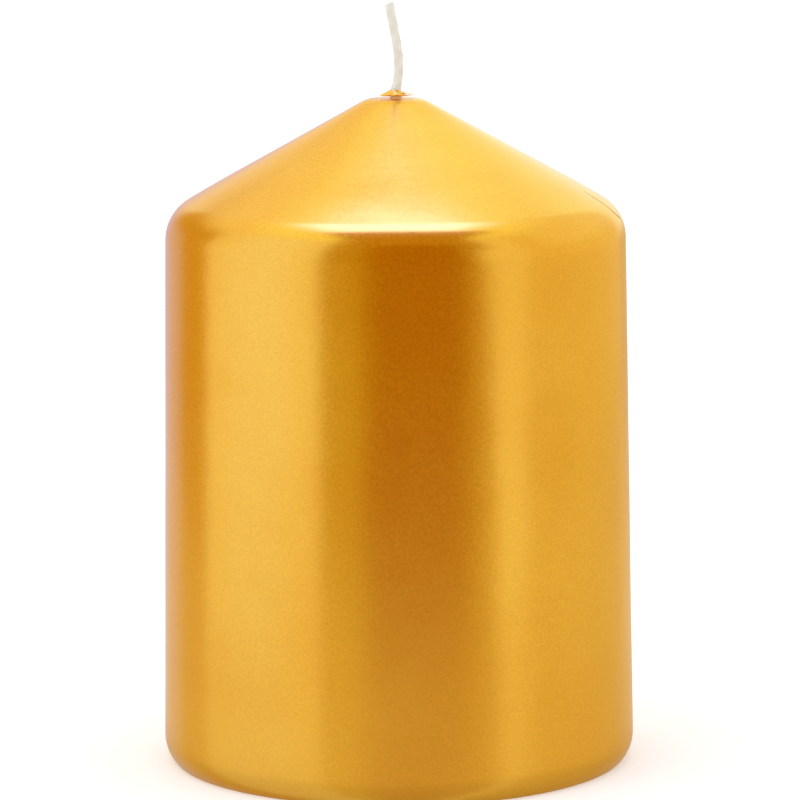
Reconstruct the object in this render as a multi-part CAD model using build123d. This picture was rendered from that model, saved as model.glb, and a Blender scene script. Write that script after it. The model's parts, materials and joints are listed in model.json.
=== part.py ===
from build123d import *
import os
from math import cos, pi, radians, sin, tan

# A pillar candle with a shallow cone top. A white wax core stands in a hard, dyed outer
# wax, under a thin metallic lacquer. One braided wick runs from a steel sustainer under
# the base to its free end above the tip.
# Millimetres, +Z up. The origin is the middle of the base, on the surface that the candle
# stands on. The free end of the wick leans towards -X.

# Outside of the finished candle, measured to its corners before they are rounded
base_diameter = 70.0
side_draft = 0.85  # degrees that the side leans inwards as it rises
shoulder_height = 81.6
cone_slope = 29.0  # degrees above level
tip_flat_diameter = 8.0
foot_rounding = 5.0
shoulder_rounding = 6.5
tip_rounding = 4.0
base_trim = 1.4  # taken off below z = 0 when the base is levelled on a hot plate

# Layers, from the outside in
lacquer_thickness = 0.25
jacket_thickness = 1.0

# Wick: a place beside the axis and a height above the tip at each bend
wick_diameter = 1.35
lean_depth = 4.0  # below the tip, where the wick leaves the axis
upper_bend_x = 0.60
upper_bend_height = 3.6
turn_x = 0.52
turn_height = 6.4
end_x = -0.70
end_height = 13.9
end_overrun = 1.0  # wick beyond the slanted cut, trimmed off
end_cut_angle = 22.0  # degrees from level, lower on the -X side

# Lip of dried lacquer round the foot of the wick
lip_wall = 0.12
lip_rise = 0.40  # height of the brim's underside above the tip
brim_thickness = 0.30
brim_reach = 0.475  # beyond the wick, all the way round
brim_point_left = 2.2
brim_point_right = 2.6
brim_point_radius = 0.18
cuff_height = 0.75

# Sustainer: a steel disc with a neck crimped on the wick, let into the base
sustainer_diameter = 15.0
sustainer_sheet = 0.30
sustainer_setback = 0.35  # from the base plane up to the disc's underside
neck_height = 4.0
neck_wall = 0.35
neck_rounding = 0.5
sustainer_clearance = 0.15

base_radius = base_diameter / 2
shoulder_radius = base_radius - shoulder_height * tan(radians(side_draft))
tip_flat_radius = tip_flat_diameter / 2
tip_height = shoulder_height + (shoulder_radius - tip_flat_radius) * tan(radians(cone_slope))
wick_radius = wick_diameter / 2
disc_underside = sustainer_setback
disc_top = disc_underside + sustainer_sheet
neck_radius = wick_radius + neck_wall
neck_top = disc_top + neck_height
seated = (Align.CENTER, Align.CENTER, Align.MIN)  # round the axis, standing on its place


def turned_shape(inset):
    """The candle's outside with every face moved inwards by inset, cut level at the base."""
    corners = [
        (base_radius, -base_trim),
        (shoulder_radius, shoulder_height),
        (tip_flat_radius, tip_height),
    ]
    mirrored = [(-x, z) for x, z in reversed(corners)]
    outline = make_face(Polyline(*corners, *mirrored, close=True))
    outline = fillet(outline.vertices().group_by(Axis.Y)[0], radius=foot_rounding)
    outline = fillet(outline.vertices().group_by(Axis.Y)[-2], radius=shoulder_rounding)
    outline = fillet(outline.vertices().group_by(Axis.Y)[-1], radius=tip_rounding)
    if inset > 0:
        outline = offset(outline, amount=-inset, kind=Kind.INTERSECTION)
    window = Rectangle(base_diameter, 2 * tip_height, align=(Align.MIN, Align.MIN))
    return revolve(Plane.XZ * (outline & window), axis=Axis.Z)


def wick_points():
    """The wick's route, straight up the axis and then through its bends above the tip."""
    bends = [
        (0, disc_underside),
        (0, tip_height - lean_depth),
        (upper_bend_x, tip_height + upper_bend_height),
        (turn_x, tip_height + turn_height),
    ]
    last_run = Vector(end_x - turn_x, 0, end_height - turn_height)
    end = Vector(end_x, 0, tip_height + end_height) + last_run.normalized() * end_overrun
    return [Vector(x, 0, z) for x, z in bends] + [end]


def bend_radii(points):
    """The largest arc that the two runs beside each bend have room for."""
    radii = []
    for before, corner, after in zip(points, points[1:], points[2:]):
        arriving = corner - before
        leaving = after - corner
        shorter = min(arriving.length, leaving.length)
        half_turn = radians(arriving.get_angle(leaving)) / 2
        radii.append(0.45 * shorter / tan(half_turn))
    return radii


def wick_route():
    """Straight runs joined by tangent arcs."""
    points = wick_points()
    return FilletPolyline(*points, radius=bend_radii(points))


def make_wick():
    """One round cord, cut at a slant at its free end."""
    tube = sweep(Plane.XY.offset(disc_underside) * Circle(wick_radius), path=wick_route())
    slant = radians(end_cut_angle)
    cut = Plane(
        origin=(end_x, 0, tip_height + end_height),
        z_dir=(-sin(slant), 0, cos(slant)),
    )
    return split(tube, bisect_by=cut, keep=Keep.BOTTOM)


def make_sustainer(wick):
    """A flat disc with a neck drawn up from its middle and crimped on the wick."""
    disc = Cylinder(sustainer_diameter / 2, sustainer_sheet, align=seated)
    neck = Cylinder(neck_radius, neck_height, align=seated)
    joined = Pos(0, 0, disc_underside) * disc + Pos(0, 0, disc_top) * neck
    neck_root = joined.faces().filter_by(Axis.Z).sort_by(Axis.Z)[1].inner_wires().edges()
    return fillet(neck_root, radius=neck_rounding) - wick


def sustainer_pocket():
    """Room for the sustainer in the base: the disc's recess and a hole for its neck."""
    recess_radius = sustainer_diameter / 2 + sustainer_clearance
    hole_radius = neck_radius + neck_rounding + sustainer_clearance
    recess = Cylinder(recess_radius, disc_top + sustainer_clearance, align=seated)
    hole = Cylinder(hole_radius, neck_top + sustainer_clearance, align=seated)
    return recess + hole


def make_lip(wick):
    """Neck, brim and cuff of dried lacquer round the wick, just above the tip."""
    lean = upper_bend_x / (lean_depth + upper_bend_height)
    middle = lean * lean_depth
    skin_radius = wick_radius + lip_wall
    brim_radius = wick_radius + brim_reach
    neck = Cylinder(skin_radius, lip_rise, align=seated)
    rims = [
        Circle(brim_radius),
        Pos(-(brim_point_left - brim_point_radius), 0) * Circle(brim_point_radius),
        Pos(brim_point_right - brim_point_radius, 0) * Circle(brim_point_radius),
    ]
    outline = make_hull(ShapeList([rim.edges()[0] for rim in rims]))
    brim = Pos(0, 0, lip_rise) * extrude(outline, amount=brim_thickness)
    cone = Cone(brim_radius, skin_radius, cuff_height, align=seated)
    cuff = Pos(0, 0, lip_rise + brim_thickness) * cone
    return Pos(middle, 0, tip_height) * (neck + brim + cuff) - wick


lacquered = turned_shape(0)
dipped = turned_shape(lacquer_thickness)
poured = turned_shape(lacquer_thickness + jacket_thickness)
wick = make_wick()

pieces = {
    "lacquer_coat": lacquered - dipped - wick,
    "overdip_jacket": dipped - poured - wick,
    "wax_core": poured - sustainer_pocket() - wick,
    "lacquer_lip": make_lip(wick),
    "wick_sustainer": make_sustainer(wick),
    "wick": wick,
}

os.makedirs("parts", exist_ok=True)
for name, piece in pieces.items():
    export_step(piece, f"parts/{name}.step")
    size = piece.bounding_box().size
    print(name, len(piece.solids()), "solid", round(piece.volume, 3), "mm3", size)

route_length = wick_route().length
print("bend radii", [round(radius, 1) for radius in bend_radii(wick_points())])
print("wick volume", round(wick.volume, 2), "of", round(pi * wick_radius**2 * route_length, 2))
print("tip height", round(tip_height, 2), "shoulder diameter", round(2 * shoulder_radius, 2))
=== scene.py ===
"""Looks of a lacquered pillar candle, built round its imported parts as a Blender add-on."""

import json
import math

import bpy
from bpy.props import FloatProperty, FloatVectorProperty, IntProperty, PointerProperty
from mathutils import Matrix, Vector, noise


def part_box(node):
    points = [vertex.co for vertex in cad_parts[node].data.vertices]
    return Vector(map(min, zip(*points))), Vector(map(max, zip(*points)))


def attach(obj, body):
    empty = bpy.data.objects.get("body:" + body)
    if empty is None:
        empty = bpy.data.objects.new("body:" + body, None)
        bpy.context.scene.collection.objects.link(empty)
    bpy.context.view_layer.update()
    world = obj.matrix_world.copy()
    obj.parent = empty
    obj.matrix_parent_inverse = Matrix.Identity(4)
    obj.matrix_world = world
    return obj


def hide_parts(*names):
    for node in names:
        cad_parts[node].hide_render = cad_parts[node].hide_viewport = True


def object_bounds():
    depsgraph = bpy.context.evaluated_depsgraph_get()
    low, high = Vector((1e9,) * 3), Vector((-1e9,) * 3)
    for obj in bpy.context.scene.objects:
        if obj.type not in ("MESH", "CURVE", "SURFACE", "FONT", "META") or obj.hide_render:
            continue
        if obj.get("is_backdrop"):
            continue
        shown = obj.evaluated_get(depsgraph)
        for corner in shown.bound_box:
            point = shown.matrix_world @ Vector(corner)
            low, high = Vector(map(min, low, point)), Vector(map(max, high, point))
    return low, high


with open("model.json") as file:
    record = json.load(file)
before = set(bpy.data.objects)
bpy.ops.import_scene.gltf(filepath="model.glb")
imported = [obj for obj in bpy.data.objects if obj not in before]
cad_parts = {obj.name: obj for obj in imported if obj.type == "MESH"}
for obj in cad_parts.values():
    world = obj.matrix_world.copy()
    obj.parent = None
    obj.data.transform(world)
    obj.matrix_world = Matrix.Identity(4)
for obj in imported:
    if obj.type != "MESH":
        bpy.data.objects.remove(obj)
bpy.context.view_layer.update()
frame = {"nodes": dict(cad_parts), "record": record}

bl_info = {
    "name": "Pillar Candle",
    "version": (1, 0, 0),
    "blender": (4, 5, 0),
    "location": "View3D > Sidebar > Candle",
    "description": "Builds the lacquered coat, the lip, the wick and the studio of a pillar candle",
    "category": "Add Mesh",
}

ROOT = "root"
FULL_TURN = 2 * math.pi

# Coat, in metres and degrees
OUTSIDE_ROW = 0.0011  # length of a row of faces outside
INSIDE_ROW = 0.004  # and inside, where nothing shows
EASE_REACH = 0.0034  # how far the arc reaches along the cone from where the cone steepens
HOLE_SLACK = 1.06  # the wick hole's radius in wick radii
LONG_WAVES = 70  # dip ripples in a metre
SHORT_WAVES = 160  # and the finer ones between them
CRACK_BEARING = -10.1  # from +X
CRACK_BOW = -1.3  # how far its middle bows aside
CRACK_HOOK = 4.6  # how far its lower end hooks back
CRACK_TOP = 0.0134  # below the tip
CRACK_FOOT = 0.0012  # below the shoulder
CRACK_COLUMNS = (-14, -3, 0.14)  # first and last bearing of the close columns, and their step

# Lip, in metres
LIP_TEAR = 0.00006  # how unevenly its edge stands out
LIP_SWAY = 0.00008  # how unevenly high it stands
NECK_EDGE = (0.00044, 0.00034)  # heights above the tip between which the lip turns to pale, dull bare wax; on the neck this is painted light, lifting the brim's shade

# Wick, as shares of its radius unless it says otherwise
STRAND = 0.60
STRAND_SWING = 0.37
STRAND_DEPTH = 0.33
STRAND_BLEND = 11  # how sharply the strands stand out from the wax
YARN_RELIEF = 0.012
YARNS = 5  # in each strand
FLARE_TOP = (0.0028, 0.0015)  # heights above the tip between which the flare at the foot fades
FLARE_FOOT = (0.0010, 0.0013)  # heights above the tip between which it grows, inside the lip
HIDDEN_ROW = 0.0011  # height of a row of faces inside the candle, in metres
FREE_ROW = 0.00006  # and above it
TRIMMED_END = 0.0022  # length that follows the slant of the cut, in metres

BARE_DULLNESS = 0.35  # roughness that a bare place adds to the lacquer's

# Floor, in metres from the candle's middle
CONTACT_NEAR = 0.032  # painted shadow: the gloss takes the floor darker where the foot stands
CONTACT_FAR = 0.050  # and has its full tone again from here
CONTACT_PAINTED_SHADE = 0.78  # share of the tone that stays under the foot, as painted shadow
GLOSS_FADE = 0.40  # from here on the gloss doesn't show the floor


# ---------------------------------------------------------------- settings


class CandleCoatSettings(bpy.types.PropertyGroup):
    """Sizes of the lacquered outside."""

    foot_radius: FloatProperty(
        name="Foot Radius", description="Radius of the side where it would meet the base",
        default=0.035, min=0.01, unit="LENGTH", precision=5,
    )
    side_draft: FloatProperty(
        name="Side Draft", description="How far the side leans inwards as it rises",
        default=math.radians(0.85), subtype="ANGLE",
    )
    shoulder_height: FloatProperty(
        name="Shoulder Height", description="Height where the side would meet the cone",
        default=0.0816, min=0.02, unit="LENGTH", precision=5,
    )
    cone_slope: FloatProperty(
        name="Cone Slope", description="Slope of the cone above level",
        default=math.radians(29.0), subtype="ANGLE",
    )
    foot_rounding: FloatProperty(
        name="Foot Rounding", description="Radius between the side and the base",
        default=0.005, min=0.0005, unit="LENGTH", precision=5,
    )
    shoulder_ease: FloatProperty(
        name="Shoulder Ease", description="How much the cone steepens before it meets the shoulder",
        default=math.radians(1.8), min=math.radians(0.1), subtype="ANGLE",
    )
    ease_length: FloatProperty(
        name="Ease Length", description="Length of the cone that steepens, from where it meets the side",
        default=0.0075, min=0.004, unit="LENGTH", precision=5,
    )
    shoulder_rounding: FloatProperty(
        name="Shoulder Rounding", description="Radius between the side and the cone",
        default=0.0065, min=0.001, unit="LENGTH", precision=5,
    )
    tip_rounding: FloatProperty(
        name="Tip Rounding", description="Radius between the cone and the flat spot at the tip",
        default=0.004, min=0.0005, unit="LENGTH", precision=5,
    )
    base_trim: FloatProperty(
        name="Base Trim", description="Height taken off when the base is levelled",
        default=0.0014, min=0.0, unit="LENGTH", precision=5,
    )
    film: FloatProperty(
        name="Film", description="Thickness of the lacquer",
        default=0.00025, min=0.00005, unit="LENGTH", precision=5,
    )
    columns: IntProperty(
        name="Columns", description="Columns of faces round the candle",
        default=240, min=48,
    )
    ripple: FloatProperty(
        name="Ripple", description="Height of the long waves left by dipping",
        default=0.00003, min=0.0, unit="LENGTH", precision=6,
    )
    hairline_depth: FloatProperty(
        name="Hairline Depth", description="Depth of the fine crack on the shoulder",
        default=0.00010, min=0.0, unit="LENGTH", precision=6,
    )
    hairline_width: FloatProperty(
        name="Hairline Width", description="Half the width of the fine crack on the shoulder",
        default=0.00026, min=0.00002, unit="LENGTH", precision=6,
    )


class CandleLipSettings(bpy.types.PropertyGroup):
    """Sizes of the brim of dried lacquer at the foot of the wick."""

    reach: FloatProperty(
        name="Reach", description="How far the brim stands out where it is narrowest",
        default=0.00088, min=0.0008, unit="LENGTH", precision=5,
    )
    front_reach: FloatProperty(
        name="Front Reach", description="How far the brim stands out in front",
        default=0.00160, min=0.0008, unit="LENGTH", precision=5,
    )
    left_point: FloatProperty(
        name="Left Point", description="How far the fin on the left stands out",
        default=0.00228, min=0.001, unit="LENGTH", precision=5,
    )
    right_flake: FloatProperty(
        name="Right Flake", description="How far the thin flake on the right stands out",
        default=0.00272, min=0.001, unit="LENGTH", precision=5,
    )
    film_share: FloatProperty(
        name="Dried Film", description="How much of the lip is dull dried film, not metal flake",
        default=0.30, min=0.0, max=1.0,
    )
    columns: IntProperty(
        name="Columns", description="Columns of faces round the lip",
        default=144, min=24,
    )


class CandleWickSettings(bpy.types.PropertyGroup):
    """Sizes of the braided wick."""

    radius: FloatProperty(
        name="Radius", description="Radius of the waxed wick",
        default=0.000675, min=0.0003, unit="LENGTH", precision=6,
    )
    plait_length: FloatProperty(
        name="Plait Length", description="Length of wick in which a strand crosses and comes back",
        default=0.0070, min=0.002, unit="LENGTH", precision=5,
    )
    ply_length: FloatProperty(
        name="Ply Length", description="Length of strand in which its yarns turn once",
        default=0.0024, min=0.0005, unit="LENGTH", precision=5,
    )
    root_flare: FloatProperty(
        name="Root Flare", description="How far the wax stands out to the left at the wick's foot",
        default=0.00020, min=0.0, unit="LENGTH", precision=5,
    )
    wax_fill: FloatProperty(
        name="Wax Fill", description="Share of the wick's radius that the wax fills between strands",
        default=0.92, min=0.3, max=1.0,
    )
    cut_angle: FloatProperty(
        name="Cut Angle", description="Slant of the trimmed end, lower on the left",
        default=math.radians(22.0), subtype="ANGLE",
    )
    sides: IntProperty(
        name="Sides", description="Faces round the wick",
        default=72, min=16,
    )


class CandleFinishSettings(bpy.types.PropertyGroup):
    """Colours of the lacquer, the waxes, the cotton and the steel."""

    lacquer: FloatVectorProperty(
        name="Lacquer", description="Colour of the lacquer's metal flake",
        default=(0.88, 0.485, 0.052), subtype="COLOR", min=0.0, max=1.0,
    )
    lacquer_deep: FloatVectorProperty(
        name="Deep Lacquer", description="Colour where the lacquer lies thicker",
        default=(0.85, 0.44, 0.040), subtype="COLOR", min=0.0, max=1.0,
    )
    hairline: FloatVectorProperty(
        name="Hairline", description="Colour inside a crack or a speck",
        default=(0.26, 0.11, 0.018), subtype="COLOR", min=0.0, max=1.0,
    )
    # The pale wax colour of flaked places, also used as painted light on the lip's neck, which the brim
    # shades.
    bare_wax_and_neck_light: FloatVectorProperty(
        name="Bare Wax", description="Colour of wax that the lacquer has flaked from",
        default=(0.97, 0.72, 0.40), subtype="COLOR", min=0.0, max=1.0,
    )
    dyed_wax: FloatVectorProperty(
        name="Dyed Wax", description="Colour of the outer wax",
        default=(0.66, 0.30, 0.035), subtype="COLOR", min=0.0, max=1.0,
    )
    white_wax: FloatVectorProperty(
        name="White Wax", description="Colour of the inner wax",
        default=(0.86, 0.81, 0.69), subtype="COLOR", min=0.0, max=1.0,
    )
    cotton: FloatVectorProperty(
        name="Waxed Cotton", description="Colour of the wick",
        default=(0.69, 0.68, 0.605), subtype="COLOR", min=0.0, max=1.0,
    )
    steel: FloatVectorProperty(
        name="Tinned Steel", description="Colour of the sustainer",
        default=(0.66, 0.65, 0.62), subtype="COLOR", min=0.0, max=1.0,
    )


class CandleStudioSettings(bpy.types.PropertyGroup):
    """Camera, floor and light."""

    camera_distance: FloatProperty(
        name="Camera Distance", description="Level distance from the candle's axis to the camera",
        default=0.671, min=0.1, unit="LENGTH",
    )
    camera_height: FloatProperty(
        name="Camera Height", description="Height of the camera above the floor",
        default=0.1574, unit="LENGTH",
    )
    camera_side: FloatProperty(
        name="Camera Side", description="How far the camera stands to the right of the axis",
        default=0.00048, unit="LENGTH", precision=5,
    )
    camera_tilt: FloatProperty(
        name="Camera Tilt", description="How far the camera looks down",
        default=math.radians(8.81), subtype="ANGLE",
    )
    camera_roll: FloatProperty(
        name="Camera Roll", description="How far the camera leans clockwise",
        default=math.radians(0.395), subtype="ANGLE",
    )
    lens: FloatProperty(
        name="Lens", description="Focal length on a 36 mm sensor, in millimetres",
        default=206.6, min=20.0,
    )
    floor_tone: FloatProperty(
        name="Floor Tone", description="How much light the floor gives back",
        default=0.90, min=0.0, max=1.0,
    )
    floor_glow: FloatProperty(
        name="Floor Glow", description="Light that comes up through the floor",
        default=0.21, min=0.0,
    )
    floor_gloss: FloatProperty(
        name="Floor in Gloss", description="How much of the floor shows in the candle's gloss",
        default=0.75, min=0.0, max=1.0,
    )
    # Painted shade: the floor is darker and warmer in the candle's gloss than to the eye.
    painted_gloss_shade: FloatVectorProperty(
        name="Gloss Tone", description="Colour that the floor takes in the candle's gloss",
        default=(0.72, 0.69, 0.60), subtype="COLOR", min=0.0, max=1.0,
    )


# ---------------------------------------------------------------- meshes


def finish_piece(name, verts, faces, node, sharp_angle=math.radians(50)):
    """Makes a smooth object from a mesh, with its node's finish, and puts it in the node's place."""
    mesh = bpy.data.meshes.new(name)
    mesh.from_pydata(verts, [], faces)
    if mesh.validate():
        raise RuntimeError(name + " has faces that Blender had to remove")
    mesh.polygons.foreach_set("use_smooth", [True] * len(mesh.polygons))
    mesh.set_sharp_from_angle(angle=sharp_angle)
    mesh.materials.append(finish_of(slot_of(node)))
    mesh.update()
    piece = bpy.data.objects.new(name, mesh)
    bpy.context.scene.collection.objects.link(piece)
    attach(piece, ROOT)
    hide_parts(node)
    return piece


def store_mask(piece, name, values):
    """Keeps a value for each vertex, for the piece's finish to read."""
    mask = piece.data.attributes.new(name, "FLOAT", "POINT")
    mask.data.foreach_set("value", values)


def slot_of(node):
    """The record's material slot of a node."""
    for subpart in frame["record"]["subparts"]:
        if subpart["node"] == node:
            return subpart["material_slot"]
    raise RuntimeError("the record has no node " + node)


def wrap_faces(rows, columns, first=0):
    """Faces of a grid that closes round both ways, such as a ring turned from a closed outline."""
    faces = []
    for row in range(rows):
        below = first + row * columns
        above = first + (row + 1) % rows * columns
        for column in range(columns):
            beside = (column + 1) % columns
            faces.append((below + column, below + beside, above + beside, above + column))
    return faces


def blend_step(low, high, value):
    """0 at low, 1 at high and a smooth step between."""
    share = min(max((value - low) / (high - low), 0.0), 1.0)
    return share * share * (3 - 2 * share)


# ---------------------------------------------------------------- coat


def rounded_corner(before, corner, after, radius, steps):
    """Points of the arc that touches both runs of an outline's corner."""
    arriving = (before - corner).normalized()
    leaving = (after - corner).normalized()
    half = arriving.angle(leaving) / 2
    centre = corner + (arriving + leaving).normalized() * (radius / math.sin(half))
    spoke = corner + arriving * (radius / math.tan(half)) - centre
    side = arriving.x * leaving.y - arriving.y * leaving.x
    turn = math.copysign(math.pi - 2 * half, -side)
    return [centre + Matrix.Rotation(turn * step / steps, 2) @ spoke for step in range(steps + 1)]


def fill_run(points, spacing):
    """The same outline with long runs divided, so that they can carry ripples."""
    filled = [points[0]]
    for start, end in zip(points, points[1:]):
        parts = max(1, round((end - start).length / spacing))
        filled += [start.lerp(end, part / parts) for part in range(1, parts + 1)]
    return filled


def coat_outline(coat, inset, tip_height, hole_radius, spacing):
    """The candle's outline from the base to the wick hole, moved inwards by inset."""
    lean = math.tan(coat.side_draft)
    slope = math.tan(coat.cone_slope)
    rise = coat.shoulder_height + coat.base_trim
    shoulder_radius = coat.foot_radius - coat.shoulder_height * lean
    lean = (coat.foot_radius - shoulder_radius) / rise
    side_shift = inset * math.hypot(1, lean)
    cone_shift = inset * math.hypot(1, slope)

    def side_at(height):
        return coat.foot_radius - side_shift - (height + coat.base_trim) * lean

    cone_top = coat.shoulder_height + shoulder_radius * slope - cone_shift
    meet = (cone_top - slope * side_at(0)) / (1 - slope * lean)
    base = inset - coat.base_trim
    tip = tip_height - inset
    middle = Vector((0, base))
    foot = Vector((side_at(base), base))
    shoulder = Vector((side_at(meet), meet))
    edge = Vector(((cone_top - tip) / slope, tip))
    ease = shoulder.lerp(edge, coat.ease_length / (edge - shoulder).length)
    dropped = (ease - shoulder).length * coat.shoulder_ease
    shoulder -= Vector((-lean, 1)) * dropped / math.cos(coat.cone_slope)
    hole = Vector((hole_radius, tip))
    outline = rounded_corner(middle, foot, shoulder, coat.foot_rounding - inset, 24)
    outline = [point for point in outline if point.y > 0]
    centre_height = base + coat.foot_rounding - inset
    centre_radius = outline[-1].x - (coat.foot_rounding - inset) * math.cos(math.atan(lean))
    reach = math.sqrt((coat.foot_rounding - inset) ** 2 - centre_height**2)
    outline.insert(0, Vector((centre_radius + reach, 0)))
    outline += rounded_corner(foot, shoulder, ease, coat.shoulder_rounding - inset, 28)
    ease_radius = EASE_REACH / math.tan(coat.shoulder_ease / 2)
    outline += rounded_corner(shoulder, ease, edge, ease_radius, 8)
    outline += rounded_corner(ease, edge, hole, coat.tip_rounding - inset, 8)
    outline.append(hole)
    return fill_run(outline, spacing)


def hairline_at(share):
    """The crack's place round the axis, in radians, from its upper end to its lower end."""
    bow = CRACK_BOW * math.sin(math.pi * share)
    hook = CRACK_HOOK * share**5
    return math.radians(CRACK_BEARING + bow + hook)


def coat_columns(count):
    """Angles round the axis from +X, closer together where the crack lies."""
    first, last, step = (math.radians(bearing) for bearing in CRACK_COLUMNS)
    angles = []
    angle = first
    while angle < last:
        angles.append(angle)
        angle += step
    rest = FULL_TURN - (last - first)
    parts = round(count * rest / FULL_TURN)
    return angles + [last + rest * part / parts for part in range(parts)]


def build_coat(coat):
    """Turns the lacquer's closed outline round the axis, with its ripples and its crack."""
    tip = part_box("lacquer_coat")[1].z
    hole_radius = bpy.context.scene.candle_wick.radius * HOLE_SLACK
    outside = coat_outline(coat, 0.0, tip, hole_radius, OUTSIDE_ROW)
    inside = coat_outline(coat, coat.film, tip, hole_radius, INSIDE_ROW)
    profile = outside + inside[::-1]
    angles = coat_columns(coat.columns)
    verts = []
    marks = []
    for row, point in enumerate(profile):
        before = profile[max(row - 1, 0)]
        after = profile[min(row + 1, len(outside) - 1)] if row < len(outside) else point
        along = (after - before).normalized() if row < len(outside) else Vector((0, 1))
        outward = Vector((along.y, -along.x))
        settled = blend_step(0, 0.004, point.y) * blend_step(0.002, 0.008, point.x)
        along_crack = crack_share(point, tip, coat)
        for angle in angles:
            moved = point.copy()
            mark = 0.0
            if row < len(outside):
                place = Vector((math.cos(angle) * point.x, math.sin(angle) * point.x, point.y))
                wave = noise.noise(place * LONG_WAVES) + 0.5 * noise.noise(place * SHORT_WAVES)
                height = coat.ripple * wave * settled
                if along_crack is not None:
                    aside = abs(angle - hairline_at(along_crack)) * point.x
                    ends = blend_step(0, 0.12, along_crack) * blend_step(0, 0.12, 1 - along_crack)
                    mark = (1 - blend_step(0, coat.hairline_width, aside)) * ends
                height -= coat.hairline_depth * mark
                moved += outward * height
            marks.append(mark)
            verts.append((math.cos(angle) * moved.x, math.sin(angle) * moved.x, moved.y))
    piece = finish_piece(
        "lacquered_coat", verts, wrap_faces(len(profile), len(angles)), "lacquer_coat"
    )
    store_mask(piece, "hairline", marks)


def crack_share(point, tip_height, coat):
    """How far down the crack a point of the outline lies, or None where there is no crack."""
    top = tip_height - CRACK_TOP
    bottom = coat.shoulder_height - CRACK_FOOT
    if point.y > top or point.y < bottom or point.x < coat.foot_radius / 2:
        return None
    return (top - point.y) / (top - bottom)


# ---------------------------------------------------------------- lip


def lip_reach(lip, angle):
    """How far the brim stands out at an angle round the wick, from +X."""
    toward_left = max(0.0, -math.cos(angle))
    toward_right = max(0.0, math.cos(angle))
    toward_front = max(0.0, -math.sin(angle))
    toward_back = max(0.0, math.sin(angle))
    torn = LIP_TEAR * noise.noise(Vector((3 * math.cos(angle), 3 * math.sin(angle), 7.3)))
    front = (lip.front_reach - lip.reach) * (toward_front**2 + 0.6 * toward_back**2)
    left = (lip.left_point - lip.reach) * toward_left**6
    right = (lip.right_flake - lip.reach) * toward_right**16
    return lip.reach + front + left + right + torn


def lip_outline(lip, angle, skin):
    """The lip's closed outline at one angle: out from the wick, and height above the tip."""
    reach = lip_reach(lip, angle)
    fin = max(0.0, -math.cos(angle)) ** 4
    flake = max(0.0, math.cos(angle)) ** 10
    right = max(0.0, math.cos(angle)) ** 2
    sway = LIP_SWAY * noise.noise(Vector((2 * math.cos(angle), 2 * math.sin(angle), 1.7)))
    under = 0.00034 + sway
    low_edge = 0.00043 - 0.00004 * fin - 0.00018 * right + 0.00020 * flake + sway
    thickness = 0.00028 - 0.00012 * fin + 0.00004 * flake
    top = 0.00126 - 0.00016 * math.cos(angle) + sway
    shelf = low_edge + thickness
    edge = (0.4 + 1.6 * flake) * thickness
    return [
        (skin * 0.96, 0.0),
        (skin + 0.00046, 0.0),
        (skin + 0.00022, 0.00005),
        (skin + 0.00010, 0.00016),
        (skin + 0.00007, under - 0.00003),
        (0.6 * skin + 0.4 * reach, 0.4 * under + 0.6 * low_edge),
        (reach - edge, low_edge),
        (reach, low_edge + 0.5 * thickness),
        (reach - edge, shelf - 0.00004 * flake),
        (0.5 * (skin + reach), 0.5 * (shelf + top) - 0.00003 - 0.00012 * flake),
        (skin + 0.00007, top - 0.00009),
        (skin + 0.00001, top),
        (skin * 0.96, top - 0.00003),
    ]


def rounded_loop(points, parts):
    """A closed outline with curved runs through the same points."""
    loop = []
    count = len(points)
    for index in range(count):
        nearby = [Vector(points[(index + step) % count]) for step in range(-1, 3)]
        before, start, end, after = nearby
        for part in range(parts):
            share = part / parts
            bend = (end - before) * (share - 2 * share**2 + share**3)
            bend += (after - start) * (share**3 - share**2)
            along = start.lerp(end, share * share * (3 - 2 * share))
            loop.append(along + 0.4 * bend)
    return loop


def build_lip(lip, wick):
    """Turns the lip's outline round the wick, with a fin to the left and a flake to the right."""
    tip_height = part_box("lacquer_lip")[0].z
    route = wick_route(wick)
    count = lip.columns
    angles = [FULL_TURN * column / count for column in range(count)]
    outlines = [rounded_loop(lip_outline(lip, angle, wick.radius), 3) for angle in angles]
    rows = len(outlines[0])
    verts = []
    flaking_and_neck_light = []
    for row in range(rows):
        for angle, outline in zip(angles, outlines):
            out, up = outline[row]
            middle = route_at_height(route, tip_height + up)
            x, y = out * math.cos(angle), out * math.sin(angle)
            verts.append((middle.x + x, middle.y + y, tip_height + up))
            flake = blend_step(lip.reach, 0.6 * lip.right_flake, x)
            # Painted light: the neck under the brim takes the pale bare-wax finish, which lifts it out
            # of its shade.
            neck = blend_step(*NECK_EDGE, up)
            flaking_and_neck_light.append(max(lip.film_share, flake, neck))
    piece = finish_piece(
        "lacquered_lip", verts, wrap_faces(rows, count), "lacquer_lip", math.radians(75)
    )
    store_mask(piece, "bare_wax_and_neck_light", flaking_and_neck_light)


# ---------------------------------------------------------------- wick


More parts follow.
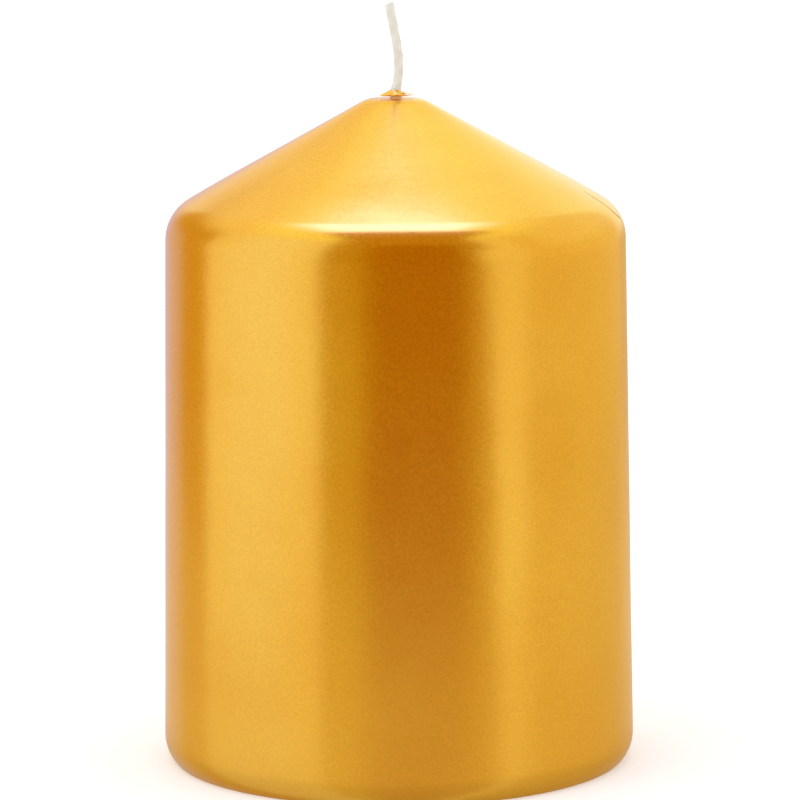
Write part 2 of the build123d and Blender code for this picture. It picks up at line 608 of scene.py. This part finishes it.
def wick_route(wick):
    """The wick's middle line from the sustainer to its cut, as fine steps of a smooth curve."""
    low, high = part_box("wick")
    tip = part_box("lacquer_coat")[1].z
    end_x = low.x + wick.radius
    route = [
        Vector((0, 0, low.z)),
        Vector((0, 0, tip - 0.0040)),
        Vector((0.00020, 0, tip + 0.0010)),
        Vector((0.00064, 0, tip + 0.0035)),
        Vector((0.00058, 0, tip + 0.0068)),
        Vector((0.00002, 0, tip + 0.0099)),
        Vector((end_x - 0.00010, 0, high.z)),
    ]
    curve = bpy.data.curves.new("wick_route", "CURVE")
    curve.dimensions = "3D"
    curve.resolution_u = 40
    spline = curve.splines.new("NURBS")
    spline.points.add(len(route) - 1)
    for point, place in zip(spline.points, route):
        point.co = (*place, 1)
    spline.order_u = 3
    spline.use_endpoint_u = True
    holder = bpy.data.objects.new("wick_route", curve)
    mesh = bpy.data.meshes.new_from_object(holder)
    steps = [vertex.co.copy() for vertex in mesh.vertices]
    bpy.data.meshes.remove(mesh)
    bpy.data.objects.remove(holder)
    bpy.data.curves.remove(curve)
    return steps


def route_at_height(route, height):
    """The route's point at a height, carried straight on past its ends."""
    for start, end in zip(route, route[1:]):
        if height <= end.z:
            break
    return start.lerp(end, (height - start.z) / (end.z - start.z))


def strand_reach(wick, along, angle):
    """How far the waxed plait stands out from the middle at an angle, some way along the wick."""
    strand = wick.radius * STRAND
    swing = wick.radius * STRAND_SWING
    depth = wick.radius * STRAND_DEPTH
    softness = STRAND_BLEND / wick.radius
    total = math.exp(softness * wick.radius * wick.wax_fill)
    ray = Vector((math.cos(angle), math.sin(angle)))
    for index in range(3):
        phase = FULL_TURN * (along / wick.plait_length + index / 3)
        middle = Vector((swing * math.sin(phase), depth * math.sin(2 * phase)))
        forward = middle.dot(ray)
        aside = middle.x * ray.y - middle.y * ray.x
        if abs(aside) >= strand:
            continue
        reach = forward + math.sqrt(strand**2 - aside**2)
        around = math.atan2(ray.y * reach - middle.y, ray.x * reach - middle.x)
        turns = along / wick.ply_length * math.copysign(1, math.cos(phase))
        reach += YARN_RELIEF * wick.radius * math.cos(YARNS * (around + FULL_TURN * turns))
        total += math.exp(softness * reach)
    return math.log(total) / softness


def build_wick(wick):
    """Sweeps the plait's outline along the wick's middle line and closes both ends."""
    route = wick_route(wick)
    low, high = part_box("wick")
    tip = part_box("lacquer_coat")[1].z
    detail_from = tip - 0.001
    cut_rise = math.tan(wick.cut_angle)
    end_height = high.z - wick.radius * math.sin(wick.cut_angle)
    sides = wick.sides
    heights = []
    height = low.z
    while height < detail_from:
        heights.append(height)
        height += HIDDEN_ROW
    count = round((end_height - detail_from) / FREE_ROW)
    heights += [detail_from + (end_height - detail_from) * step / count for step in range(count + 1)]
    verts = []
    squeeze_from = end_height - TRIMMED_END
    for height in heights:
        squeeze = blend_step(squeeze_from, end_height, height)
        foot = blend_step(*FLARE_TOP, height - tip) * blend_step(*FLARE_FOOT, height - tip)
        for side in range(sides):
            angle = FULL_TURN * side / sides
            flare = wick.root_flare * foot * max(0.0, -math.cos(angle)) ** 2
            reach = strand_reach(wick, height, angle) + flare
            slant = cut_rise * reach * math.cos(angle) * squeeze
            middle = route_at_height(route, height + slant)
            verts.append(
                (middle.x + reach * math.cos(angle), reach * math.sin(angle), height + slant)
            )
    rows = len(heights)
    faces = wrap_faces(rows, sides)[: (rows - 1) * sides]
    verts, faces = close_end(verts, faces, 0, sides, Vector((0, 0, 0)), True)
    crown = Vector((0, 0, 0.00006))
    verts, faces = close_end(verts, faces, (rows - 1) * sides, sides, crown, False)
    finish_piece("braided_wick", verts, faces, "wick", math.radians(60))


def close_end(verts, faces, first, sides, crown, facing_down):
    """Fills the ring of verts that starts at first with smaller rings and a middle point."""
    ring = [Vector(vert) for vert in verts[first : first + sides]]
    middle = sum(ring, Vector()) / sides
    outer = first
    for shrink in (0.86, 0.6, 0.3):
        inner = len(verts)
        for point in ring:
            lifted = middle.lerp(point, shrink) + crown * (1 - shrink * shrink)
            verts.append(tuple(lifted))
        for side in range(sides):
            beside = (side + 1) % sides
            face = (outer + side, outer + beside, inner + beside, inner + side)
            faces.append(face[::-1] if facing_down else face)
        outer = inner
    verts.append(tuple(middle + crown))
    for side in range(sides):
        face = (outer + side, outer + (side + 1) % sides, len(verts) - 1)
        faces.append(face[::-1] if facing_down else face)
    return verts, faces


# ---------------------------------------------------------------- materials


def new_group(name, inputs, outputs):
    """An empty shader node group with named sockets."""
    group = bpy.data.node_groups.new(name, "ShaderNodeTree")
    for label, kind, default in inputs:
        socket = group.interface.new_socket(label, in_out="INPUT", socket_type=kind)
        socket.default_value = default
    for label, kind in outputs:
        group.interface.new_socket(label, in_out="OUTPUT", socket_type=kind)
    return group, group.nodes.new("NodeGroupInput"), group.nodes.new("NodeGroupOutput")


def add_node(tree, kind, settings=None, values=None, links=None):
    """A node with its properties, its socket values and its incoming links."""
    node = tree.nodes.new(kind)
    for name, value in (settings or {}).items():
        setattr(node, name, value)
    for key, value in (values or {}).items():
        node.inputs[key].default_value = value
    for key, source in (links or {}).items():
        tree.links.new(source, node.inputs[key])
    return node


def add_math(tree, operation, first, second=None):
    """A math node whose inputs are numbers or sockets."""
    node = tree.nodes.new("ShaderNodeMath")
    node.operation = operation
    for socket, value in zip(node.inputs, (first, second)):
        if isinstance(value, (int, float)):
            socket.default_value = value
        elif value is not None:
            tree.links.new(value, socket)
    return node.outputs[0]


def add_mix(tree, factor, first, second):
    """A colour mix whose factor and colours are values or sockets."""
    node = tree.nodes.new("ShaderNodeMix")
    node.data_type = "RGBA"
    node.clamp_factor = True
    sockets = (node.inputs[0], node.inputs[6], node.inputs[7])
    for socket, value in zip(sockets, (factor, first, second)):
        if hasattr(value, "is_linked"):
            tree.links.new(value, socket)
        elif isinstance(value, (int, float)):
            socket.default_value = value
        else:
            socket.default_value = (*value[:3], 1)
    return node.outputs[2]


def add_noise(tree, place, scale, detail, roughness):
    """Noise at a place in the object, from 0 to 1."""
    return add_node(
        tree, "ShaderNodeTexNoise", {}, {"Detail": detail, "Roughness": roughness},
        {"Vector": place, "Scale": scale},
    ).outputs[0]


def cloudy_tone_group():
    """Two colours mixed in soft clouds, with a fine grain of lighter and darker points."""
    group, entry, exit_node = new_group(
        "Cloudy Tone",
        [
            ("Color", "NodeSocketColor", (0.8, 0.8, 0.8, 1)),
            ("Second Color", "NodeSocketColor", (0.6, 0.6, 0.6, 1)),
            ("Cloud Scale", "NodeSocketFloat", 60.0),
            ("Grain Scale", "NodeSocketFloat", 3500.0),
            ("Grain Amount", "NodeSocketFloat", 0.1),
        ],
        [("Color", "NodeSocketColor"), ("Clouds", "NodeSocketFloat"), ("Grain", "NodeSocketFloat")],
    )
    place = add_node(group, "ShaderNodeTexCoord").outputs["Object"]
    clouds = add_noise(group, place, entry.outputs["Cloud Scale"], 3.0, 0.5)
    grain = add_noise(group, place, entry.outputs["Grain Scale"], 1.5, 0.6)
    cloud_mask = add_node(
        group, "ShaderNodeMapRange", {"interpolation_type": "SMOOTHSTEP"},
        {"From Min": 0.35, "From Max": 0.65}, {"Value": clouds},
    ).outputs[0]
    tone = add_mix(group, cloud_mask, entry.outputs["Color"], entry.outputs["Second Color"])
    centred = add_math(group, "SUBTRACT", grain, 0.5)
    lift = add_math(group, "MULTIPLY", centred, entry.outputs["Grain Amount"])
    gain = add_math(group, "ADD", add_math(group, "MULTIPLY", lift, 2.0), 1.0)
    scaled = add_node(
        group, "ShaderNodeVectorMath", {"operation": "SCALE"}, {}, {0: tone, "Scale": gain}
    ).outputs[0]
    group.links.new(scaled, exit_node.inputs["Color"])
    group.links.new(cloud_mask, exit_node.inputs["Clouds"])
    group.links.new(grain, exit_node.inputs["Grain"])
    return group


def fine_relief_group():
    """A height made of long soft ripples and a fine grain, for a bump node."""
    group, entry, exit_node = new_group(
        "Fine Relief",
        [
            ("Ripple Scale", "NodeSocketFloat", 300.0),
            ("Ripple Height", "NodeSocketFloat", 1.0),
            ("Grain Scale", "NodeSocketFloat", 3500.0),
            ("Grain Height", "NodeSocketFloat", 0.2),
        ],
        [("Height", "NodeSocketFloat")],
    )
    place = add_node(group, "ShaderNodeTexCoord").outputs["Object"]
    ripples = add_noise(group, place, entry.outputs["Ripple Scale"], 2.0, 0.45)
    grain = add_noise(group, place, entry.outputs["Grain Scale"], 2.0, 0.6)
    tall = add_math(group, "MULTIPLY", ripples, entry.outputs["Ripple Height"])
    small = add_math(group, "MULTIPLY", grain, entry.outputs["Grain Height"])
    group.links.new(add_math(group, "ADD", tall, small), exit_node.inputs["Height"])
    return group


def shared_group(name, maker):
    """A node group that is built once and used by several materials."""
    return bpy.data.node_groups.get(name) or maker()


def new_material(name, uniform):
    """A material with a Principled shader whose uniform values are set on its own sockets."""
    material = bpy.data.materials.new(name)
    material.use_nodes = True
    shader = material.node_tree.nodes["Principled BSDF"]
    for key, value in uniform.items():
        shader.inputs[key].default_value = value
    return material, material.node_tree, shader


def add_tone(tree, colour, second, clouds, grain, amount):
    """The cloudy tone group placed in a material with its own values."""
    values = {
        "Color": (*colour, 1),
        "Second Color": (*second, 1),
        "Cloud Scale": clouds,
        "Grain Scale": grain,
        "Grain Amount": amount,
    }
    group = shared_group("Cloudy Tone", cloudy_tone_group)
    return add_node(tree, "ShaderNodeGroup", {"node_tree": group}, values)


def add_relief(tree, shader, ripple, grain, distance):
    """The fine relief group, with scale and height of each, on a bump node at the shader's normal."""
    values = {
        "Ripple Scale": ripple[0],
        "Ripple Height": ripple[1],
        "Grain Scale": grain[0],
        "Grain Height": grain[1],
    }
    group = shared_group("Fine Relief", fine_relief_group)
    relief = add_node(tree, "ShaderNodeGroup", {"node_tree": group}, values)
    bump = add_node(
        tree, "ShaderNodeBump", {}, {"Strength": 1.0, "Distance": distance},
        {"Height": relief.outputs["Height"]},
    )
    tree.links.new(bump.outputs["Normal"], shader.inputs["Normal"])
    return relief, bump


def add_range(tree, value, low, high):
    """Maps 0 to 1 on to low to high."""
    node = add_node(
        tree, "ShaderNodeMapRange", {}, {"To Min": low, "To Max": high}, {"Value": value}
    )
    return node.outputs[0]


def waxy_material(name, weight, radius):
    """A slightly translucent material, with how far light of each colour goes in."""
    uniform = {
        "Subsurface Weight": weight,
        "Subsurface Radius": radius,
        "Subsurface Scale": 1.0,
        "IOR": 1.44,
    }
    return new_material(name, uniform)


def add_surface(tree, shader, tone, dulled_by, dullness, **relief):
    """Puts a tone's colour on the shader, a roughness that follows the tone, and a relief."""
    tree.links.new(tone.outputs["Color"], shader.inputs["Base Color"])
    tree.links.new(add_range(tree, tone.outputs[dulled_by], *dullness), shader.inputs["Roughness"])
    return add_relief(tree, shader, **relief)


def gold_lacquer(name, finish):
    """Satin gold lacquer: metal flake under a thin clear top, with specks and a hairline crack."""
    uniform = {
        "Coat Roughness": 0.20,
        "Coat IOR": 1.5,
        "Specular Tint": (1.0, 0.90, 0.66, 1.0),
    }
    material, tree, shader = new_material(name, uniform)
    tone = add_tone(tree, finish.lacquer, finish.lacquer_deep, clouds=45, grain=2800, amount=0.15)
    place = add_node(tree, "ShaderNodeTexCoord").outputs["Object"]
    cells = add_node(
        tree, "ShaderNodeTexVoronoi", {"feature": "F1"}, {"Scale": 130.0, "Randomness": 1.0},
        {"Vector": place},
    )
    # Most cells get a size below zero, and so no speck.
    speck_size = add_range(tree, cells.outputs["Color"], -0.055, 0.03)
    speck = add_math(tree, "LESS_THAN", cells.outputs["Distance"], speck_size)
    hairline = add_node(tree, "ShaderNodeAttribute", {"attribute_name": "hairline"}).outputs["Fac"]
    mark = add_math(tree, "MAXIMUM", add_math(tree, "MULTIPLY", speck, 0.5), hairline)
    bare_and_neck_light = add_node(tree, "ShaderNodeAttribute", {"attribute_name": "bare_wax_and_neck_light"}).outputs["Fac"]
    colour = add_mix(tree, mark, tone.outputs["Color"], finish.hairline)
    # Thinly dried film keeps the lacquer's colour, and only bare places take the wax's; on the lip's
    # neck that pale colour is painted light under the brim.
    flaked = add_node(
        tree, "ShaderNodeMapRange", {}, {"From Min": 0.4, "From Max": 1.0}, {"Value": bare_and_neck_light}
    ).outputs[0]
    colour = add_mix(tree, flaked, colour, finish.bare_wax_and_neck_light)
    tree.links.new(colour, shader.inputs["Base Color"])
    covered = add_math(tree, "SUBTRACT", 1.0, bare_and_neck_light)
    tree.links.new(covered, shader.inputs["Metallic"])
    tree.links.new(add_range(tree, hairline, 0.24, 0.0), shader.inputs["Coat Weight"])
    satin = add_range(tree, tone.outputs["Grain"], 0.17, 0.26)
    dull = add_math(tree, "ADD", satin, add_math(tree, "MULTIPLY", bare_and_neck_light, BARE_DULLNESS))
    tree.links.new(dull, shader.inputs["Roughness"])
    add_relief(tree, shader, ripple=(260, 1.0), grain=(2400, 0.11), distance=0.00002)
    return material


def dyed_wax(name, finish):
    """Hard dyed wax, a little translucent, with faint clouds."""
    material, tree, shader = waxy_material(name, 0.35, (0.0020, 0.0009, 0.0003))
    paler = [min(1.0, channel * 1.25 + 0.02) for channel in finish.dyed_wax]
    tone = add_tone(tree, finish.dyed_wax, paler, clouds=260, grain=2400, amount=0.06)
    add_surface(
        tree, shader, tone, "Clouds", (0.34, 0.5),
        ripple=(500, 0.6), grain=(2600, 0.3), distance=0.00005,
    )
    return material


def white_wax(name, finish):
    """Levelled paraffin: cloudy crystals and the rings that the hot plate leaves."""
    material, tree, shader = waxy_material(name, 0.45, (0.0030, 0.0024, 0.0016))
    darker = [channel * factor for channel, factor in zip(finish.white_wax, (0.93, 0.91, 0.86))]
    tone = add_tone(tree, finish.white_wax, darker, clouds=220, grain=1800, amount=0.07)
    relief, bump = add_surface(
        tree, shader, tone, "Clouds", (0.42, 0.62),
        ripple=(420, 0.8), grain=(2200, 0.5), distance=0.00008,
    )
    place = add_node(tree, "ShaderNodeTexCoord").outputs["Object"]
    rings = add_node(
        tree, "ShaderNodeTexWave",
        {"wave_type": "RINGS", "rings_direction": "Z", "wave_profile": "SIN"},
        {"Scale": 420.0, "Distortion": 1.2, "Detail": 2.0, "Detail Scale": 1.5},
        {"Vector": place},
    ).outputs["Fac"]
    height = add_math(tree, "ADD", relief.outputs["Height"], add_math(tree, "MULTIPLY", rings, 0.35))
    tree.links.new(height, bump.inputs["Height"])
    return material


def waxed_cotton(name, finish):
    """Cotton yarn soaked in wax: ivory, smooth where the wax fills it, with faint fibres."""
    material, tree, shader = waxy_material(name, 0.3, (0.0006, 0.0005, 0.00035))
    paler = [min(1.0, channel * 1.07) for channel in finish.cotton]
    tone = add_tone(tree, finish.cotton, paler, clouds=900, grain=9000, amount=0.10)
    add_surface(
        tree, shader, tone, "Grain", (0.38, 0.6),
        ripple=(2600, 0.7), grain=(11000, 0.6), distance=0.00003,
    )
    return material


def tinned_steel(name, finish):
    """Stamped tinned steel, with a fine grain and a few dull patches."""
    material, tree, shader = new_material(name, {"Metallic": 1.0})
    duller = [channel * 0.82 for channel in finish.steel]
    tone = add_tone(tree, finish.steel, duller, clouds=420, grain=5200, amount=0.12)
    add_surface(
        tree, shader, tone, "Clouds", (0.24, 0.42),
        ripple=(900, 0.3), grain=(5200, 0.5), distance=0.00002,
    )
    return material


FINISHES = {
    "gold_lacquer": gold_lacquer,
    "dyed_wax": dyed_wax,
    "white_wax": white_wax,
    "waxed_cotton": waxed_cotton,
    "tinned_steel": tinned_steel,
}


def finish_of(slot):
    """The finish of a material slot, made once and kept for every piece that has it."""
    name = slot + "_finish"
    return bpy.data.materials.get(name) or FINISHES[slot](name, bpy.context.scene.candle_finish)


def dress_node(node):
    """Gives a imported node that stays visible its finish."""
    piece = frame["nodes"][node]
    piece.data.materials.clear()
    piece.data.materials.append(finish_of(slot_of(node)))


# ---------------------------------------------------------------- studio


def add_floor(studio):
    """A wide pale floor, seen in the candle's gloss only near its foot, and there with painted shade:
    darker and warmer than to the eye.
    """
    mesh = bpy.data.meshes.new("floor")
    half = 6.0
    corners = [(x * half, y * half, 0) for x, y in ((-1, -1), (1, -1), (1, 1), (-1, 1))]
    mesh.from_pydata(corners, [], [(0, 1, 2, 3)])
    uniform = {
        "Roughness": 0.9,
        "Specular IOR Level": 0.1,
        "Emission Strength": studio.floor_glow,
    }
    material, tree, shader = new_material("pale_floor", uniform)
    tone = [studio.floor_tone] * 3
    warm = [studio.floor_tone, studio.floor_tone * 0.99, studio.floor_tone * 0.98]
    cloud = add_tone(tree, tone, warm, clouds=3, grain=300, amount=0.004)
    path = add_node(tree, "ShaderNodeLightPath")
    place = add_node(tree, "ShaderNodeNewGeometry").outputs["Position"]
    away = add_node(
        tree, "ShaderNodeVectorMath", {"operation": "LENGTH"}, {}, {0: place}
    ).outputs["Value"]
    # Painted contact shadow: the floor in the gloss is darker close to the foot.
    contact = add_node(
        tree, "ShaderNodeMapRange", {}, {"From Min": CONTACT_NEAR, "From Max": CONTACT_FAR},
        {"Value": away},
    ).outputs[0]
    painted_contact_shadow = [channel * CONTACT_PAINTED_SHADE for channel in studio.painted_gloss_shade]
    near = add_mix(tree, contact, painted_contact_shadow, studio.painted_gloss_shade)
    # Painted shade: only gloss rays see the floor, and its glow, in this darker tone.
    tint = add_mix(tree, path.outputs["Is Glossy Ray"], (1, 1, 1), near)
    tinted = add_node(
        tree, "ShaderNodeVectorMath", {"operation": "MULTIPLY"}, {},
        {0: cloud.outputs["Color"], 1: tint},
    ).outputs[0]
    tree.links.new(tinted, shader.inputs["Base Color"])
    tree.links.new(tint, shader.inputs["Emission Color"])
    far = add_node(
        tree, "ShaderNodeMapRange", {},
        {"From Max": GLOSS_FADE, "To Min": 1 - studio.floor_gloss}, {"Value": away},
    ).outputs[0]
    hidden = add_math(tree, "MULTIPLY", far, path.outputs["Is Glossy Ray"])
    clear = add_node(tree, "ShaderNodeBsdfTransparent")
    output = tree.nodes["Material Output"]
    mixed = add_node(
        tree, "ShaderNodeMixShader", {}, {}, {0: hidden, 1: shader.outputs[0], 2: clear.outputs[0]}
    )
    tree.links.new(mixed.outputs[0], output.inputs["Surface"])
    mesh.materials.append(material)
    floor = bpy.data.objects.new("floor", mesh)
    bpy.context.scene.collection.objects.link(floor)
    floor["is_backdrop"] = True


def panel_mask_group():
    """A soft-edged window in the studio's surround, by direction in degrees."""
    group, entry, exit_node = new_group(
        "Panel Mask",
        [
            ("Bearing", "NodeSocketFloat", 0.0),
            ("Height", "NodeSocketFloat", 0.0),
            ("Left", "NodeSocketFloat", -180.0),
            ("Right", "NodeSocketFloat", 180.0),
            ("Low", "NodeSocketFloat", -90.0),
            ("High", "NodeSocketFloat", 90.0),
            ("Side Softness", "NodeSocketFloat", 6.0),
            ("End Softness", "NodeSocketFloat", 4.0),
        ],
        [("Mask", "NodeSocketFloat")],
    )

    def rising(value, edge, softness):
        low = add_math(group, "SUBTRACT", edge, softness)
        high = add_math(group, "ADD", edge, softness)
        return add_node(
            group, "ShaderNodeMapRange", {"interpolation_type": "SMOOTHSTEP"}, {},
            {"Value": value, "From Min": low, "From Max": high},
        ).outputs[0]

    def falling(value, edge, softness):
        return add_math(group, "SUBTRACT", 1.0, rising(value, edge, softness))

    bearing, height = entry.outputs["Bearing"], entry.outputs["Height"]
    side, end = entry.outputs["Side Softness"], entry.outputs["End Softness"]
    across = add_math(
        group, "MULTIPLY",
        rising(bearing, entry.outputs["Left"], side), falling(bearing, entry.outputs["Right"], side),
    )
    up = add_math(
        group, "MULTIPLY",
        rising(height, entry.outputs["Low"], end), falling(height, entry.outputs["High"], end),
    )
    group.links.new(add_math(group, "MULTIPLY", across, up), exit_node.inputs["Mask"])
    return group


# Each panel: left and right bearing from straight in front, low and high elevation, softness
# at its sides and ends (all in degrees), and the light that it gives. Later ones cover earlier.
STUDIO_PANELS = (
    ("backdrop", -200, 200, 1, 100, 1, 4, (1.02, 0.98, 0.95)),
    ("backdrop on the right", 135, 180, 0, 36, 8, 6, (1.13, 1.31, 1.32)),
    ("ceiling", -200, 200, 46, 100, 1, 10, (1.15, 1.23, 0.90)),
    ("ceiling on the right", 148, 166, 32, 62, 5, 6, (1.18, 1.34, 1.35)),
    ("wall on the left", -176, -105, 18, 52, 6, 8, (1.08, 1.04, 0.95)),
    ("dark corner on the left", -158, -107, -95, 30, 4, 9, (0.74, 0.50, 0.08)),
    ("far corner on the left", -190, -134, -95, 8, 6, 6, (0.78, 0.68, 1.00)),
    ("left softbox", -108, -38, -95, 45, 4, 10, (1.06, 1.05, 1.10)),
    ("left softbox middle", -90, -54, -95, 45, 8, 10, (1.06, 1.12, 1.50)),
    ("right softbox", 44, 150, -95, 45, 6, 10, (0.97, 0.87, 0.60)),
    ("top of the right softbox", 84, 150, 14, 48, 6, 8, (1.03, 1.00, 0.88)),
    ("right softbox middle", 46, 68, -95, 45, 5, 10, (1.05, 1.04, 0.98)),
    ("foot of the right softbox", 66, 150, -95, -7.5, 8, 2, (0.79, 0.68, 0.40)),
    ("room beside the camera", -37, 43, -95, 80, 1.5, 3, (0.63, 0.44, 0.04)),
    ("foot of the room on the right", 35, 49.5, -95, -6.5, 3, 2, (0.63, 0.42, 0.05)),
    ("top of the room on the right", 35, 50, 24, 76, 2, 8, (0.62, 0.42, 0.04)),
    ("foot of the room on the left", -36, -20, -95, -6.3, 3, 2, (0.70, 0.56, 0.10)),
    ("room behind the camera", -15, 35, -95, 80, 6, 3, (0.485, 0.240, 0.0)),
)
# Panels overhead: tilt from straight up to the left and right, then to the back and front,
# and the rest as above.
OVERHEAD_PANELS = (
    ("ceiling over the tip", -10, 8, -42, -22, 4, 3, (1.12, 1.05, 0.10)),
    ("room over the camera", -21, 30, 4, 45, 3, 2, (0.60, 0.36, 0.03)),
    ("overhead softbox", -20, 19, -22.6, 5.7, 7, 3, (2.20, 2.60, 11.5)),
)
SURROUND = (0.76, 0.62, 0.40)  # light from where no panel stands


def add_panel(tree, seen, panel, across, up):
    """Puts a panel's light over what was seen before it."""
    label, left, right, low, high, side, end, light = panel
    values = {
        "Left": left, "Right": right, "Low": low, "High": high,
        "Side Softness": side, "End Softness": end,
    }
    group = shared_group("Panel Mask", panel_mask_group)
    mask = add_node(
        tree, "ShaderNodeGroup", {"node_tree": group, "label": label}, values,
        {"Bearing": across, "Height": up},
    ).outputs["Mask"]
    return add_mix(tree, mask, seen, light)


def add_surround():
    """White to the eye and to soft surfaces; in gloss, a studio of panels round the candle."""
    world = bpy.data.worlds.new("studio")
    bpy.context.scene.world = world
    world.use_nodes = True
    world.cycles.sampling_method = "NONE"
    tree = world.node_tree
    background = tree.nodes["Background"]
    direction = add_node(tree, "ShaderNodeTexCoord").outputs["Generated"]
    split = add_node(tree, "ShaderNodeSeparateXYZ", {}, {}, {0: direction})
    right, back, up = split.outputs
    toward = add_math(tree, "MULTIPLY", back, -1.0)
    bearing = add_math(tree, "DEGREES", add_math(tree, "ARCTAN2", right, toward))
    height = add_math(tree, "DEGREES", add_math(tree, "ARCSINE", up))
    tilt_right = add_math(tree, "DEGREES", add_math(tree, "ARCTAN2", right, up))
    tilt_front = add_math(tree, "DEGREES", add_math(tree, "ARCTAN2", toward, up))
    seen = SURROUND
    for panel in STUDIO_PANELS:
        seen = add_panel(tree, seen, panel, bearing, height)
    for panel in OVERHEAD_PANELS:
        seen = add_panel(tree, seen, panel, tilt_right, tilt_front)
    path = add_node(tree, "ShaderNodeLightPath")
    colour = add_mix(tree, path.outputs["Is Glossy Ray"], (1.0, 1.0, 1.0), seen)
    tree.links.new(colour, background.inputs["Color"])


def add_softbox(name, place, target, size, power):
    """A square area light that faces its target and stays out of the gloss."""
    light = bpy.data.lights.new(name, "AREA")
    light.size = size
    light.energy = power
    lamp = bpy.data.objects.new(name, light)
    lamp.location = place
    lamp.rotation_euler = (target - place).to_track_quat("-Z", "Y").to_euler()
    lamp.visible_glossy = False
    bpy.context.scene.collection.objects.link(lamp)


def add_camera(studio):
    """The camera, in front of the candle and a little above it."""
    lens = bpy.data.cameras.new("camera")
    lens.sensor_width = 36.0
    lens.lens = studio.lens
    camera = bpy.data.objects.new("camera", lens)
    camera.rotation_mode = "ZYX"
    camera.location = (studio.camera_side, -studio.camera_distance, studio.camera_height)
    camera.rotation_euler = (math.radians(90) - studio.camera_tilt, 0, -studio.camera_roll)
    bpy.context.scene.collection.objects.link(camera)
    bpy.context.scene.camera = camera


# ---------------------------------------------------------------- operators


class CANDLE_OT_studio(bpy.types.Operator):
    """Adds the camera, the pale floor and the soft light"""

    bl_idname = "candle.studio"
    bl_label = "Studio"
    bl_options = {"REGISTER", "UNDO"}

    def execute(self, context):
        studio = context.scene.candle_studio
        add_camera(studio)
        add_floor(studio)
        add_surround()
        low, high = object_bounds()
        middle = (low + high) / 2
        add_softbox("key", Vector((-0.55, -0.35, 0.6)), middle, 0.5, 1.2)
        add_softbox("fill", Vector((0.6, -0.2, 0.5)), middle, 0.5, 0.6)
        context.scene.view_settings.view_transform = "Standard"
        return {"FINISHED"}


class CANDLE_OT_coat(bpy.types.Operator):
    """Builds the lacquered outside of the candle"""

    bl_idname = "candle.coat"
    bl_label = "Lacquered Coat"
    bl_options = {"REGISTER", "UNDO"}

    def execute(self, context):
        build_coat(context.scene.candle_coat)
        return {"FINISHED"}


class CANDLE_OT_lip(bpy.types.Operator):
    """Builds the brim of dried lacquer at the foot of the wick"""

    bl_idname = "candle.lip"
    bl_label = "Lacquered Lip"
    bl_options = {"REGISTER", "UNDO"}

    def execute(self, context):
        build_lip(context.scene.candle_lip, context.scene.candle_wick)
        return {"FINISHED"}


class CANDLE_OT_wick(bpy.types.Operator):
    """Builds the braided, waxed wick"""

    bl_idname = "candle.wick"
    bl_label = "Braided Wick"
    bl_options = {"REGISTER", "UNDO"}

    def execute(self, context):
        build_wick(context.scene.candle_wick)
        return {"FINISHED"}


class CANDLE_OT_inside(bpy.types.Operator):
    """Dresses the outer wax, the core and the sustainer, which show under the base"""

    bl_idname = "candle.inside"
    bl_label = "Wax and Sustainer"
    bl_options = {"REGISTER", "UNDO"}

    def execute(self, context):
        dress_node("overdip_jacket")
        dress_node("wax_core")
        dress_node("wick_sustainer")
        return {"FINISHED"}


OPERATORS = (CANDLE_OT_studio, CANDLE_OT_coat, CANDLE_OT_lip, CANDLE_OT_wick, CANDLE_OT_inside)
SETTINGS = {
    "candle_coat": CandleCoatSettings,
    "candle_lip": CandleLipSettings,
    "candle_wick": CandleWickSettings,
    "candle_finish": CandleFinishSettings,
    "candle_studio": CandleStudioSettings,
}


class CANDLE_PT_pieces(bpy.types.Panel):
    """Lists the candle's pieces and its studio"""

    bl_idname = "CANDLE_PT_pieces"
    bl_label = "Pillar Candle"
    bl_space_type = "VIEW_3D"
    bl_region_type = "UI"
    bl_category = "Candle"

    def draw(self, context):
        for operator in OPERATORS:
            self.layout.operator(operator.bl_idname)


def register():
    for kind in (*SETTINGS.values(), *OPERATORS, CANDLE_PT_pieces):
        bpy.utils.register_class(kind)
    for name, kind in SETTINGS.items():
        setattr(bpy.types.Scene, name, PointerProperty(type=kind))


def unregister():
    for name in SETTINGS:
        delattr(bpy.types.Scene, name)
    for kind in reversed((*SETTINGS.values(), *OPERATORS, CANDLE_PT_pieces)):
        bpy.utils.unregister_class(kind)


def main():
    """Builds every piece in order."""
    register()
    bpy.ops.candle.studio()
    bpy.ops.candle.coat()
    bpy.ops.candle.lip()
    bpy.ops.candle.wick()
    bpy.ops.candle.inside()


if __name__ == "__main__":
    main()
